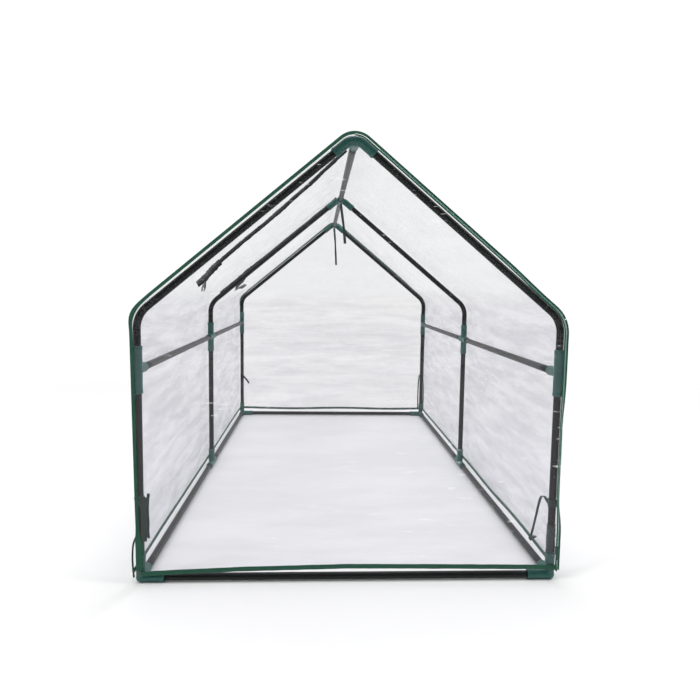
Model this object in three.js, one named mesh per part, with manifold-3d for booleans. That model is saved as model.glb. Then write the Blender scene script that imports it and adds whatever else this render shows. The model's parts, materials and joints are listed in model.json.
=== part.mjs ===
// Mini greenhouse: three arches of push-fit steel tube under a clear film cover with a zipped side flap.
// Millimetres, +Z up. The origin is on the ground under the middle of the frame. The front gable faces
// -Y and the side that unzips faces +X.
import * as THREE from "three";
import { mergeVertices } from "three/addons/utils/BufferGeometryUtils.js";
import Module from "manifold-3d";

const wasm = await Module();
wasm.setup();

// ---- driving dimensions -------------------------------------------------------------------------
const SPAN = 884; // between the centres of the left and right legs
const LENGTH = 1784; // between the centres of the front and rear arches
const GROUND_Z = 10; // centre of the tubes that lie on the ground
const SIDE_Z = 455; // centre of the side rails and their joints
const EAVE_Z = 568; // where the leg's and the rafter's centre lines would cross
const APEX_Z = 935; // where the two rafters' centre lines would cross
const RIDGE_Z = 925; // centre of the ridge tubes
const EAVE_BEND_R = 60; // centre-line radius of the bend between leg and rafter

const TUBE_D = 16;
const TUBE_WALL = 0.6;
const TUBE_SIDES = 12;
const TUBE_END = 14; // from a joint's centre to the end of each tube pushed into it
const RAFTER_END = 27; // from the apex to the end of each rafter
const BEND_STEPS = 6;

const SOCKET_D = 21;
const SOCKET_REACH = 50; // from a joint's centre to each socket's mouth
const SOCKET_BACK = 7; // how far each arm runs back past the joint's centre
const SOCKET_BORE_D = 17.3;
const SOCKET_FLOOR = 13; // from a joint's centre to the bottom of each bore
const ELBOW_R = 30; // centre-line radius of the ridge joints' bend
const ELBOW_REACH = 55; // from the apex to the mouths of a ridge joint's two sloping sockets
const ELBOW_FLOOR = 26; // from the apex to the bottom of their bores
const SOCKET_SIDES = 16;

const FILM = 0.5; // thickness of the cover's film
const FILM_OFF = 11.2; // from the tubes' centre lines out to the film on the roof and sides
const SIDE_FILM_END = LENGTH / 2 + 10.7; // the side and roof films reach this far forward and back
const GABLE_Y = LENGTH / 2 + 11; // inner face of the gable films
const FOLD_GAP = 2; // each film panel stops this short of a fold line

const TAPE = 1.4; // thickness of the bindings and of the zip tapes
const TAPE_Y = LENGTH / 2 + 11.8; // inner face of the tapes on the gables
const BINDING_IN = 8.5; // the bindings' inner edge, out from the tubes' centre lines
const BINDING_OUT = 15.5;
const ZIP_IN = 4; // the gable's half of the zip starts here
const ZIP_GABLE_EDGE = 8.5; // and ends here
const ZIP_FLAP_EDGE = 11; // and the flap's half starts here
const HEM_LOW = 25; // the cover's lower edge hangs clear of the ground
const HEM_HIGH = 35;
const HEM_OFF = 11; // inner face of the side hems
const HEM = 2.2;
const TAPE_INSET = 0.3; // the gable film stops this far inside its binding's outer edge
const RIDGE_RELIEF = 30; // the flap's tapes start this far down the slope, so that the flap can turn over
const EAVE_RELIEF = 4; // and stop this short of the eave fold

const SLIDER_Z = 70; // centre of a zip slider when the zip is closed
const SLIDER_W = 10;
const SLIDER_L = 18;
const SLIDER = 2.3; // thickness of the slider's body
const SLIDER_GAP = 0.3; // between the tapes and the slider's body
const KEEL_W = 1.6; // runs between the two halves of the zip
const KEEL_FLOOR = 0.4; // the keel's inner face, out from the tapes' inner face
const KEEL_END = 2; // the keel stops this far inside each end of the body
const PULL_W = 6;
const PULL_L = 26;
const PULL = 1.2; // how far the pull stands out from the body
const PULL_TOP = 4; // top of the pull, above the middle of the body
const LUG_L = 6; // the lug that holds the pull
const LAP = 1; // how deep one block of the slider runs into the next
const RIBBON_W = 10; // width of the roll-up ties
const TIE_W = 6; // width of the corner ties
const RIBBON = 1.6; // thickness of every tie
const TIE_GAP = 0.3; // between the roof film and a tie that lies on it

// ---- derived ------------------------------------------------------------------------------------
const HALF = SPAN / 2;
const SLOPE = Math.atan2(APEX_Z - EAVE_Z, HALF);
const FILM_MID = FILM_OFF + FILM / 2;
const RIDGE_FOLD_S = -FILM_MID * Math.tan(SLOPE);
const EAVE_FOLD_S = (HALF + FILM_MID - FILM_MID * Math.sin(SLOPE)) / Math.cos(SLOPE);

const greenhouse = new THREE.Group();

// ---- colours ------------------------------------------------------------------------------------
const finishes = {
  steel: { color: 0x1b1f1e, roughness: 0.38, metalness: 0.3 },
  socket: { color: 0x1f5a4f, roughness: 0.45, metalness: 0 },
  film: { color: 0xeef2f4, roughness: 0.08, metalness: 0, transparent: true, opacity: 0.25 },
  tape: { color: 0x0f5f42, roughness: 0.8, metalness: 0 },
  ribbon: { color: 0x24473c, roughness: 0.8, metalness: 0 },
};

function add(name, geometry, finish) {
  const mesh = new THREE.Mesh(geometry, new THREE.MeshStandardMaterial(finishes[finish]));
  mesh.name = name;
  greenhouse.add(mesh);
}

// ---- solids -------------------------------------------------------------------------------------
function welded(geometry) {
  geometry.deleteAttribute("normal");
  geometry.deleteAttribute("uv");
  return mergeVertices(geometry, 1e-3);
}

function toManifold(geometry) {
  const whole = welded(geometry);
  return new wasm.Manifold(
    new wasm.Mesh({
      numProp: 3,
      vertProperties: new Float32Array(whole.attributes.position.array),
      triVerts: new Uint32Array(whole.index.array),
    }),
  );
}

function fromManifold(solid) {
  const mesh = solid.getMesh();
  const geometry = new THREE.BufferGeometry();
  geometry.setAttribute("position", new THREE.BufferAttribute(mesh.vertProperties, 3));
  geometry.setIndex(new THREE.BufferAttribute(mesh.triVerts, 1));
  return geometry;
}

function joined(geometries) {
  return geometries.map(toManifold).reduce((whole, next) => whole.add(next));
}

// A path whose steps land on its own stations, so that a straight run needs none between its ends.
// flatTo turns a ribbon's section so that its flat faces look that way.
class StationPath extends THREE.Curve {
  constructor(stations, flatTo = null) {
    super();
    this.stations = stations;
    this.flatTo = flatTo;
  }

  at(u) {
    return Math.round(u * (this.stations.length - 1));
  }

  getPoint(t) {
    return this.stations[this.at(t)].clone();
  }

  getPointAt(u) {
    return this.getPoint(u);
  }

  getTangentAt(u) {
    const i = this.at(u);
    const here = this.stations[i];
    const heading = new THREE.Vector3();
    if (i > 0) heading.add(here.clone().sub(this.stations[i - 1]).normalize());
    if (i < this.stations.length - 1) heading.add(this.stations[i + 1].clone().sub(here).normalize());
    return heading.normalize();
  }

  computeFrenetFrames(segments, closed) {
    if (!this.flatTo) return super.computeFrenetFrames(segments, closed);
    const steps = [...Array(segments + 1).keys()];
    const tangents = steps.map((i) => this.getTangentAt(i / segments));
    const normals = tangents.map((t) => this.flatTo.clone().cross(t).normalize());
    const binormals = tangents.map((t, i) => t.clone().cross(normals[i]));
    return { tangents, normals, binormals };
  }
}

function swept(section, stations, flatTo) {
  const path = new StationPath(stations, flatTo);
  return welded(new THREE.ExtrudeGeometry(section, { steps: stations.length - 1, extrudePath: path }));
}

function roundOutline(radius, sides) {
  return [...Array(sides).keys()].map((i) => {
    const angle = (2 * Math.PI * (i + 0.5)) / sides;
    return new THREE.Vector2(radius * Math.cos(angle), radius * Math.sin(angle));
  });
}

function tube(stations) {
  const section = new THREE.Shape(roundOutline(TUBE_D / 2, TUBE_SIDES));
  section.holes.push(new THREE.Path(roundOutline(TUBE_D / 2 - TUBE_WALL, TUBE_SIDES)));
  return swept(section, stations);
}

// A ribbon or strap: eight sides, rounded at its two edges.
function ribbon(stations, width, flatTo) {
  const x = width / 2;
  const y = RIBBON / 2;
  const corner = RIBBON / 3;
  const outline = [
    [x, -corner],
    [x, corner],
    [x - corner, y],
    [corner - x, y],
    [-x, corner],
    [-x, -corner],
    [corner - x, -y],
    [x - corner, -y],
  ];
  const section = new THREE.Shape(outline.map(([u, v]) => new THREE.Vector2(u, v)));
  return swept(section, stations, flatTo);
}

// An outline in X and Z, made into a slab from y0 to y1.
function slab(outline, y0, y1, hole) {
  const shape = new THREE.Shape(outline.map(([x, z]) => new THREE.Vector2(x, z)));
  if (hole) shape.holes.push(new THREE.Path(hole.map(([x, z]) => new THREE.Vector2(x, z))));
  const geometry = new THREE.ExtrudeGeometry(shape, { depth: y1 - y0, bevelEnabled: false });
  geometry.rotateX(Math.PI / 2);
  geometry.translate(0, y1, 0);
  return welded(geometry);
}

// The same slab on the front gable (end -1) or on the rear one (end 1), from near to far off the middle.
function gableSlab(end, outline, near, far, hole) {
  return slab(outline, Math.min(end * near, end * far), Math.max(end * near, end * far), hole);
}

function box(low, high) {
  const geometry = new THREE.BoxGeometry(high[0] - low[0], high[1] - low[1], high[2] - low[2]);
  geometry.translate((low[0] + high[0]) / 2, (low[1] + high[1]) / 2, (low[2] + high[2]) / 2);
  return geometry;
}

// ---- places -------------------------------------------------------------------------------------
const point = (x, y, z) => new THREE.Vector3(x, y, z);
const sides = { left: -1, right: 1 };
const ends = { front: -1, rear: 1 };
const arches = { front: -LENGTH / 2, middle: 0, rear: LENGTH / 2 };
const UP = point(0, 0, 1);
const DOWN = point(0, 0, -1);

// On one roof slope: s down the slope from the apex, off outwards from the rafters' centre lines.
function roofPoint(side, s, off) {
  const x = s * Math.cos(SLOPE) + off * Math.sin(SLOPE);
  return [side * x, APEX_Z - s * Math.sin(SLOPE) + off * Math.cos(SLOPE)];
}

// Where a line off outside the leg meets a line off outside the rafter.
function eaveHeight(off) {
  return APEX_Z + off / Math.cos(SLOPE) - Math.tan(SLOPE) * (HALF + off);
}

// ---- joints -------------------------------------------------------------------------------------
function arm(direction, from, to, diameter, facets) {
  const geometry = new THREE.CylinderGeometry(diameter / 2, diameter / 2, to - from, facets);
  geometry.translate(0, (from + to) / 2, 0);
  geometry.applyQuaternion(new THREE.Quaternion().setFromUnitVectors(point(0, 1, 0), direction));
  return geometry;
}

function socketJoint(directions) {
  const outside = directions.map((d) => arm(d, -SOCKET_BACK, SOCKET_REACH, SOCKET_D, SOCKET_SIDES));
  const bores = directions.map((d) => arm(d, SOCKET_FLOOR, SOCKET_REACH + 1, SOCKET_BORE_D, TUBE_SIDES));
  return joined(outside).subtract(joined(bores));
}

function addJoint(name, x, y, z, directions) {
  let solid = socketJoint(directions).translate([x, y, z]);
  if (z === GROUND_Z) {
    const below = box([x - HALF, y - HALF, -HALF], [x + HALF, y + HALF, 0]);
    solid = solid.subtract(toManifold(below));
  }
  add(name, fromManifold(solid), "socket");
}

// The centre line of a ridge joint's two sloping sockets, from mouth to mouth round the bend.
function elbowStations(y) {
  const middleZ = APEX_Z - ELBOW_R / Math.cos(SLOPE);
  const arc = [...Array(2 * BEND_STEPS + 1).keys()].map((i) => {
    const angle = SLOPE * (i / BEND_STEPS - 1);
    return point(ELBOW_R * Math.sin(angle), y, middleZ + ELBOW_R * Math.cos(angle));
  });
  const [left, right] = [-1, 1].map((side) => {
    const [x, z] = roofPoint(side, ELBOW_REACH, 0);
    return point(x, y, z);
  });
  return [left, ...arc, right];
}

// One bent arm over the ridge, with a level arm for each ridge tube.
function addRidgeJoint(name, y, along) {
  const bend = swept(new THREE.Shape(roundOutline(SOCKET_D / 2, SOCKET_SIDES)), elbowStations(y));
  const level = along.map((d) => arm(d, 0, SOCKET_REACH, SOCKET_D, SOCKET_SIDES));
  const levelBores = along.map((d) => arm(d, SOCKET_FLOOR, SOCKET_REACH + 1, SOCKET_BORE_D, TUBE_SIDES));
  const sloping = [-1, 1].map((side) => {
    const downSlope = point(side * Math.cos(SLOPE), 0, -Math.sin(SLOPE));
    return arm(downSlope, ELBOW_FLOOR, ELBOW_REACH + 1, SOCKET_BORE_D, TUBE_SIDES);
  });
  const solid = toManifold(bend)
    .add(joined(level).translate([0, y, RIDGE_Z]))
    .subtract(joined(levelBores).translate([0, y, RIDGE_Z]))
    .subtract(joined(sloping).translate([0, y, APEX_Z]));
  add(name, fromManifold(solid), "socket");
}

// The directions along the tunnel in which this arch has tubes.
function alongTunnel(arch) {
  const ways = { front: [1], middle: [-1, 1], rear: [-1] };
  return ways[arch].map((y) => point(0, y, 0));
}

// ---- the arches ---------------------------------------------------------------------------------
function hoopStations(side, y) {
  const turn = Math.PI / 2 - SLOPE;
  const bendZ = EAVE_Z - EAVE_BEND_R * Math.tan(turn / 2);
  const stations = [point(side * HALF, y, SIDE_Z + TUBE_END)];
  for (let i = 0; i <= BEND_STEPS; i++) {
    const angle = (turn * i) / BEND_STEPS;
    const x = HALF - EAVE_BEND_R + EAVE_BEND_R * Math.cos(angle);
    stations.push(point(side * x, y, bendZ + EAVE_BEND_R * Math.sin(angle)));
  }
  const [x, z] = roofPoint(side, RAFTER_END, 0);
  stations.push(point(x, y, z));
  return stations;
}

for (const [arch, y] of Object.entries(arches)) {
  addRidgeJoint(`${arch}_ridge_joint`, y, alongTunnel(arch));
  for (const [name, side] of Object.entries(sides)) {
    const x = side * HALF;
    const inwards = arch === "middle" ? [] : [point(-side, 0, 0)];
    addJoint(`${arch}_${name}_ground_joint`, x, y, GROUND_Z, [UP, ...inwards, ...alongTunnel(arch)]);
    addJoint(`${arch}_${name}_side_joint`, x, y, SIDE_Z, [UP, DOWN, ...alongTunnel(arch)]);
    const legEnds = [point(x, y, GROUND_Z + TUBE_END), point(x, y, SIDE_Z - TUBE_END)];
    add(`${arch}_${name}_lower_leg`, tube(legEnds), "steel");
    add(`${arch}_${name}_roof_hoop`, tube(hoopStations(side, y)), "steel");
  }
}

// ---- the rails ----------------------------------------------------------------------------------
function addRail(name, x, z, y0, y1) {
  add(name, tube([point(x, y0 + TUBE_END, z), point(x, y1 - TUBE_END, z)]), "steel");
}

for (const [bay, [y0, y1]] of Object.entries({ front: [-LENGTH / 2, 0], rear: [0, LENGTH / 2] })) {
  addRail(`${bay}_ridge_tube`, 0, RIDGE_Z, y0, y1);
  for (const [name, side] of Object.entries(sides)) {
    addRail(`${bay}_${name}_side_rail`, side * HALF, SIDE_Z, y0, y1);
    addRail(`${bay}_${name}_ground_rail`, side * HALF, GROUND_Z, y0, y1);
  }
}

for (const [name, end] of Object.entries(ends)) {
  const barEnds = [-1, 1].map((side) => point(side * (HALF - TUBE_END), (end * LENGTH) / 2, GROUND_Z));
  add(`${name}_ground_bar`, tube(barEnds), "steel");
}

// ---- the cover ----------------------------------------------------------------------------------
function roofFilm(side) {
  const from = RIDGE_FOLD_S + FOLD_GAP;
  const to = EAVE_FOLD_S - FOLD_GAP;
  const outline = [
    roofPoint(side, from, FILM_OFF),
    roofPoint(side, to, FILM_OFF),
    roofPoint(side, to, FILM_OFF + FILM),
    roofPoint(side, from, FILM_OFF + FILM),
  ];
  return slab(outline, -SIDE_FILM_END, SIDE_FILM_END);
}

// The wall film ends in a hem that is folded double and bound.
function wallFilm(side) {
  const top = eaveHeight(FILM_MID) - FOLD_GAP;
  const outline = [
    [FILM_OFF, top],
    [FILM_OFF, HEM_HIGH],
    [HEM_OFF, HEM_HIGH],
    [HEM_OFF, HEM_LOW],
    [HEM_OFF + HEM, HEM_LOW],
    [HEM_OFF + HEM, HEM_HIGH],
    [FILM_OFF + FILM, HEM_HIGH],
    [FILM_OFF + FILM, top],
  ];
  return slab(
    outline.map(([off, z]) => [side * (HALF + off), z]),
    -SIDE_FILM_END,
    SIDE_FILM_END,
  );
}

function gableOutline(left, right, bottom) {
  return [
    [-(HALF + left), bottom],
    [HALF + right, bottom],
    [HALF + right, eaveHeight(right)],
    [(right - left) / (2 * Math.sin(SLOPE)), APEX_Z + (left + right) / (2 * Math.cos(SLOPE))],
    [-(HALF + left), eaveHeight(left)],
  ];
}

add("left_roof_film", roofFilm(-1), "film");
add("left_wall_film", wallFilm(-1), "film");
add("right_roof_flap", roofFilm(1), "film");
add("right_wall_flap", wallFilm(1), "film");

function flapRoofTape() {
  return [
    roofPoint(1, RIDGE_FOLD_S + RIDGE_RELIEF, ZIP_FLAP_EDGE),
    roofPoint(1, EAVE_FOLD_S - EAVE_RELIEF, ZIP_FLAP_EDGE),
    roofPoint(1, EAVE_FOLD_S - EAVE_RELIEF, BINDING_OUT),
    roofPoint(1, RIDGE_FOLD_S + RIDGE_RELIEF, BINDING_OUT),
  ];
}

function flapWallTape() {
  const top = eaveHeight(FILM_MID) - EAVE_RELIEF;
  return [
    [HALF + ZIP_FLAP_EDGE, top],
    [HALF + ZIP_FLAP_EDGE, HEM_LOW],
    [HALF + BINDING_OUT, HEM_LOW],
    [HALF + BINDING_OUT, top],
  ];
}

// ---- the zip sliders ----------------------------------------------------------------------------
// Each block is its width, its inner and outer faces, and its lower and upper ends above SLIDER_Z.
function sliderBlocks() {
  const face = TAPE_Y + TAPE + SLIDER_GAP;
  const front = face + SLIDER;
  const keelEnd = SLIDER_L / 2 - KEEL_END;
  return [
    [SLIDER_W, face, front, -SLIDER_L / 2, SLIDER_L / 2],
    [KEEL_W, TAPE_Y + KEEL_FLOOR, face + LAP, -keelEnd, keelEnd],
    [PULL_W, front - LAP, front + PULL, PULL_TOP - LUG_L, PULL_TOP],
    [PULL_W, front + SLIDER_GAP, front + PULL, PULL_TOP - PULL_L, PULL_TOP],
  ];
}

function slider(end) {
  const x = HALF + (ZIP_GABLE_EDGE + ZIP_FLAP_EDGE) / 2;
  const geometries = sliderBlocks().map(([width, near, far, low, high]) => {
    const [y0, y1] = [end * near, end * far].sort((a, b) => a - b);
    return box([x - width / 2, y0, SLIDER_Z + low], [x + width / 2, y1, SLIDER_Z + high]);
  });
  return fromManifold(joined(geometries));
}

for (const [name, end] of Object.entries(ends)) {
  const filmOutline = gableOutline(
    BINDING_OUT - TAPE_INSET,
    ZIP_GABLE_EDGE - TAPE_INSET,
    HEM_LOW + TAPE_INSET,
  );
  const bindingOutline = gableOutline(BINDING_OUT, ZIP_GABLE_EDGE, HEM_LOW);
  const window = gableOutline(BINDING_IN, ZIP_IN, HEM_HIGH);
  add(`${name}_gable_film`, gableSlab(end, filmOutline, GABLE_Y, GABLE_Y + FILM), "film");
  add(`${name}_gable_binding`, gableSlab(end, bindingOutline, TAPE_Y, TAPE_Y + TAPE, window), "tape");
  add(`${name}_flap_roof_zip_tape`, gableSlab(end, flapRoofTape(), TAPE_Y, TAPE_Y + TAPE), "tape");
  add(`${name}_flap_wall_zip_tape`, gableSlab(end, flapWallTape(), TAPE_Y, TAPE_Y + TAPE), "tape");
  add(`${name}_zip_slider`, slider(end), "tape");
}

// ---- the ties -----------------------------------------------------------------------------------
// Each route is a few knots chosen by hand and joined by one smooth curve.
function route(knots, steps) {
  return new THREE.CatmullRomCurve3(knots).getSpacedPoints(steps);
}

// Knots of a tie that lies on the left roof film, given by X and Y.
function onLeftRoof(places) {
  const off = FILM_OFF + FILM + TIE_GAP + RIBBON / 2;
  const crest = APEX_Z + off / Math.cos(SLOPE);
  return places.map(([x, y]) => point(x, y, crest + Math.tan(SLOPE) * x));
}

const ROOF_TIES = {
  front_roof_tie: [
    [-12, -716],
    [-35, -700],
    [-93, -666],
    [-142, -640],
    [-204, -626],
    [-265, -622],
    [-300, -612],
    [-332, -578],
    [-356, -520],
    [-377, -452],
    [-395, -380],
  ],
  middle_roof_tie: [
    [-12, 14],
    [-62, 20],
    [-120, 26],
    [-180, 20],
    [-240, 24],
    [-300, 20],
    [-332, 34],
    [-354, 72],
    [-369, 128],
    [-372, 186],
    [-360, 236],
  ],
};
const leftRoofNormal = point(-Math.sin(SLOPE), 0, Math.cos(SLOPE));
for (const [name, places] of Object.entries(ROOF_TIES)) {
  add(name, ribbon(route(onLeftRoof(places), 26), RIBBON_W, leftRoofNormal), "ribbon");
}

const HANGING_TIES = {
  middle_ridge_tie: {
    width: RIBBON_W,
    knots: [
      [2, -13, 913],
      [4, -14, 900],
      [8, -15, 872],
      [12, -15, 844],
      [15, -14, 812],
      [18, -14, 780],
    ],
  },
  rear_ridge_tie: {
    width: RIBBON_W,
    knots: [
      [0, 876, 913],
      [1, 875, 898],
      [4, 874, 868],
      [6, 874, 836],
      [8, 875, 800],
      [10, 875, 768],
      [11, 875, 738],
    ],
  },
  front_left_corner_tie: {
    width: TIE_W,
    knots: [
      [-426, -884, 190],
      [-427.5, -885, 172],
      [-428, -886, 150],
      [-427, -886, 128],
      [-428, -885, 108],
      [-427, -884, 92],
    ],
  },
  front_right_corner_tie: {
    width: TIE_W,
    knots: [
      [437, -879, 168],
      [435, -866, 174],
      [435, -846, 170],
      [438, -822, 146],
      [442, -798, 112],
      [445, -776, 78],
      [447, -758, 50],
      [448, -746, 29],
    ],
  },
  rear_right_corner_tie: {
    width: TIE_W,
    knots: [
      [430, 881, 206],
      [428, 880, 190],
      [426, 880, 164],
      [425, 880, 128],
      [425, 880, 90],
      [425.5, 880, 58],
      [426, 880, 36],
    ],
  },
};
for (const [name, { width, knots }] of Object.entries(HANGING_TIES)) {
  const stations = route(knots.map(([x, y, z]) => point(x, y, z)), 14);
  add(name, ribbon(stations, width, point(0, -1, 0)), "ribbon");
}

export default greenhouse;
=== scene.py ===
import json
import math
import random

import bpy
import numpy as np
from mathutils import Matrix, Vector, noise


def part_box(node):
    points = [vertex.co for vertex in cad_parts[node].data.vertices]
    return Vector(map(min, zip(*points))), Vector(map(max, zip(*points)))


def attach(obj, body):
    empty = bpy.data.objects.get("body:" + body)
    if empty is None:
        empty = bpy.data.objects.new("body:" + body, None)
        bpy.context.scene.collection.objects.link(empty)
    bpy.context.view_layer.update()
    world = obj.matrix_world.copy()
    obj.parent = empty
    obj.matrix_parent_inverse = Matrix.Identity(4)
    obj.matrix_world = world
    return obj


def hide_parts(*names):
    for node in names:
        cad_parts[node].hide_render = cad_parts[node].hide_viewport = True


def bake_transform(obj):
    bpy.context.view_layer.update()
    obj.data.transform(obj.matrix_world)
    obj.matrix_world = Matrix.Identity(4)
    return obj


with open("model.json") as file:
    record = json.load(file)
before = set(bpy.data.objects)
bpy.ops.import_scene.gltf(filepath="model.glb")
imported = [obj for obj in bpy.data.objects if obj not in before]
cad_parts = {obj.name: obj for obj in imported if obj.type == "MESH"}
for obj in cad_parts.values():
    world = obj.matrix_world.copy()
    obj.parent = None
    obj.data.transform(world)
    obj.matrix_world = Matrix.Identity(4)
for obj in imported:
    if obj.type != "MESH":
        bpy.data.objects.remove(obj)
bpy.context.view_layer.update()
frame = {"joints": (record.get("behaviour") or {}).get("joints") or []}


# ---- places, all from the frame ----
def middle(node):
    low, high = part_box(node)
    return (low + high) / 2


def hinge_at(name):
    return Vector(next(j["pos_m"] for j in frame["joints"] if j["name"] == name))


HALF = middle("front_right_ground_rail").x
GROUND_Z = middle("front_right_ground_rail").z
SIDE_Z = middle("front_right_side_rail").z
RIDGE_Z = middle("front_ridge_tube").z
ARCH_Y = {
    "front": middle("front_ground_bar").y,
    "middle": middle("middle_right_lower_leg").y,
    "rear": middle("rear_ground_bar").y,
}
SIDES = {"left": -1, "right": 1}
ENDS = {"front": -1, "rear": 1}
RIDGE_FOLD = hinge_at("roof_flap_hinge")
EAVE_FOLD = hinge_at("wall_flap_fold")
TAN = (RIDGE_FOLD.z - EAVE_FOLD.z) / EAVE_FOLD.x
SLOPE = math.atan(TAN)
COS, SIN = math.cos(SLOPE), math.sin(SLOPE)
FILM_MID = EAVE_FOLD.x - HALF  # from the tubes' centre lines out to the film
APEX_Z = RIDGE_FOLD.z - FILM_MID / COS  # where the rafters' centre lines would cross
EAVE_Z = APEX_Z - HALF * TAN
FILM_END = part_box("left_roof_film")[1].y
GABLE_Y = -middle("front_gable_film").y
TAPE_Y = -middle("front_gable_binding").y
HEM_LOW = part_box("left_wall_film")[0].z
SLIDER_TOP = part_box("front_zip_slider")[1].z

# ---- sizes, in metres ----
TUBE_R = 0.008
TUBE_END = 0.014  # from a joint's centre to a tube's end
EAVE_BEND_R = 0.060
EAVE_TURN = math.pi / 2 - SLOPE
EAVE_BEND_Z = EAVE_Z - EAVE_BEND_R * math.tan(EAVE_TURN / 2)
RAFTER_END = 0.027
ELBOW_R = 0.030
ELBOW_REACH = 0.055
ELBOW_FLOOR = 0.029
ELBOW_Z = APEX_Z - ELBOW_R / COS
SOCKET_R, COLLAR_R = 0.0102, 0.0108
SOCKET_REACH = 0.050
COLLAR, COLLAR_STEP = 0.007, 0.0012
BORE_R, BORE_FLOOR, BORE_PAST = 0.0086, 0.016, 0.002
FLOOR_GAP = 0.0003

BINDING_IN, BINDING_OUT = 0.0100, 0.0170
ZIP_IN, ZIP_GABLE_EDGE, ZIP_FLAP_EDGE = 0.0076, 0.0106, 0.0130
ZIP_START = 0.054  # down the slope from the crest
ZIP_RELIEF = 0.0008  # from the eave's fold to the end of a flap's zip tape
TRIM_BOTTOM = 0.030
TAPE = 0.0014
HEM_W = 0.010
STITCH_PITCH, ZIP_PITCH = 0.0034, 0.0033
TIE_W, CORNER_TIE_W = 0.010, 0.006
TIE_T = 0.0024
ROOF_TIE_OFF = 0.0085
FORWARD = (0, -1, 0)
UP, DOWN = (0, 0, 1), (0, 0, -1)

# ---- camera ----
EYE = Vector((-0.06929, -2.20986, 0.62952))
EYE_YAW, EYE_PITCH, EYE_ROLL = 0.0498, 0.0976, 0.0146
EYE_LENS, EYE_SENSOR = 32.62, 36


def add_camera():
    data = bpy.data.cameras.new("camera")
    data.lens, data.sensor_width = EYE_LENS, EYE_SENSOR
    camera = bpy.data.objects.new("camera", data)
    yaw, roll = Matrix.Rotation(-EYE_YAW, 4, "Z"), Matrix.Rotation(EYE_ROLL, 4, "Z")
    pitch = Matrix.Rotation(math.pi / 2 - EYE_PITCH, 4, "X")
    camera.matrix_world = Matrix.Translation(EYE) @ yaw @ pitch @ roll
    bpy.context.scene.collection.objects.link(camera)
    bpy.context.scene.camera = camera


add_camera()

# ---- materials ----
WHITE = 1.03
PURE_WHITE = (1.0, 1.0, 1.0, 1.0)


class Nodes:
    """The node tree of a material or a world, built by name."""

    def __init__(self, holder, output="ShaderNodeOutputMaterial"):
        holder.use_nodes = True
        self.holder, self.tree = holder, holder.node_tree
        self.tree.nodes.clear()
        self.output = self.add(output)

    def add(self, kind, inputs=None, **settings):
        node = self.tree.nodes.new(kind)
        for key, value in settings.items():
            setattr(node, key, value)
        for key, value in (inputs or {}).items():
            if isinstance(value, bpy.types.NodeSocket):
                self.tree.links.new(value, node.inputs[key])
            else:
                node.inputs[key].default_value = value
        return node

    def where(self, space="Object"):
        return self.add("ShaderNodeTexCoord").outputs[space]

    def drawn_out(self, where, scale, turn):
        return self.add("ShaderNodeMapping", {"Vector": where, "Scale": scale, "Rotation": turn}).outputs[0]

    def noise(self, scale, where, detail=2.0, rough=0.5):
        inputs = {"Scale": scale, "Detail": detail, "Roughness": rough, "Vector": where}
        return self.add("ShaderNodeTexNoise", inputs).outputs["Fac"]

    def remap(self, value, low, high, to_low, to_high, **settings):
        inputs = {"Value": value, "From Min": low, "From Max": high, "To Min": to_low, "To Max": to_high}
        return self.add("ShaderNodeMapRange", inputs, **settings).outputs["Result"]

    def mix(self, factor, a, b):
        return self.add("ShaderNodeMix", {0: factor, 6: a, 7: b}, data_type="RGBA").outputs[2]

    def math(self, operation, a, b=0.0):
        return self.add("ShaderNodeMath", {0: a, 1: b}, operation=operation).outputs[0]

    def bump(self, height, distance, strength=1.0, normal=None):
        inputs = {"Height": height, "Distance": distance, "Strength": strength}
        if normal is not None:
            inputs["Normal"] = normal
        return self.add("ShaderNodeBump", inputs).outputs["Normal"]

    def glow(self, strength):
        return self.add("ShaderNodeEmission", {"Color": PURE_WHITE, "Strength": strength}).outputs[0]

    def either(self, factor, a, b):
        return self.add("ShaderNodeMixShader", {0: factor, 1: a, 2: b}).outputs[0]

    def surface(self, colour, rough, normal, **more):
        inputs = {"Base Color": colour, "Roughness": rough, "Normal": normal, **more}
        return self.add("ShaderNodeBsdfPrincipled", inputs).outputs[0]

    def done(self, shader):
        self.tree.links.new(shader, self.output.inputs["Surface"])
        return self.holder


def material(name):
    return Nodes(bpy.data.materials.new(name))


def shade(rgb, k=1.0):
    return (rgb[0] * k, rgb[1] * k, rgb[2] * k, 1.0)


def steel_material():
    n = material("powder_coated_steel")
    where = n.where()
    grain = n.noise(1100, where, 2)
    mark = n.remap(n.noise(160, where, 6, 0.7), 0.66, 0.74, 0, 1)
    base = n.mix(n.noise(14, where, 3), shade((0.004, 0.0055, 0.0055)), shade((0.010, 0.0125, 0.0125)))
    colour = n.mix(n.math("MULTIPLY", mark, 0.35), base, shade((0.05, 0.055, 0.055)))
    peel = n.bump(n.noise(420, where, 2), 0.00025, 0.5)
    normal = n.bump(grain, 0.00008, 0.5, peel)
    rough = n.remap(grain, 0.3, 0.7, 0.30, 0.46)
    return n.done(n.surface(colour, rough, normal, **{"Specular IOR Level": 0.26}))


def socket_material():
    n = material("moulded_socket_plastic")
    where = n.where()
    flow = n.noise(30, where, 4)
    dust = n.remap(n.noise(240, where, 5, 0.7), 0.62, 0.75, 0, 0.4)
    base = n.mix(flow, shade((0.010, 0.082, 0.068)), shade((0.020, 0.120, 0.102)))
    colour = n.mix(dust, base, shade((0.06, 0.16, 0.14)))
    rough = n.remap(flow, 0.3, 0.7, 0.34, 0.5)
    return n.done(n.surface(colour, rough, n.bump(n.noise(1500, where, 2), 0.0001, 0.5)))


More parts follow.
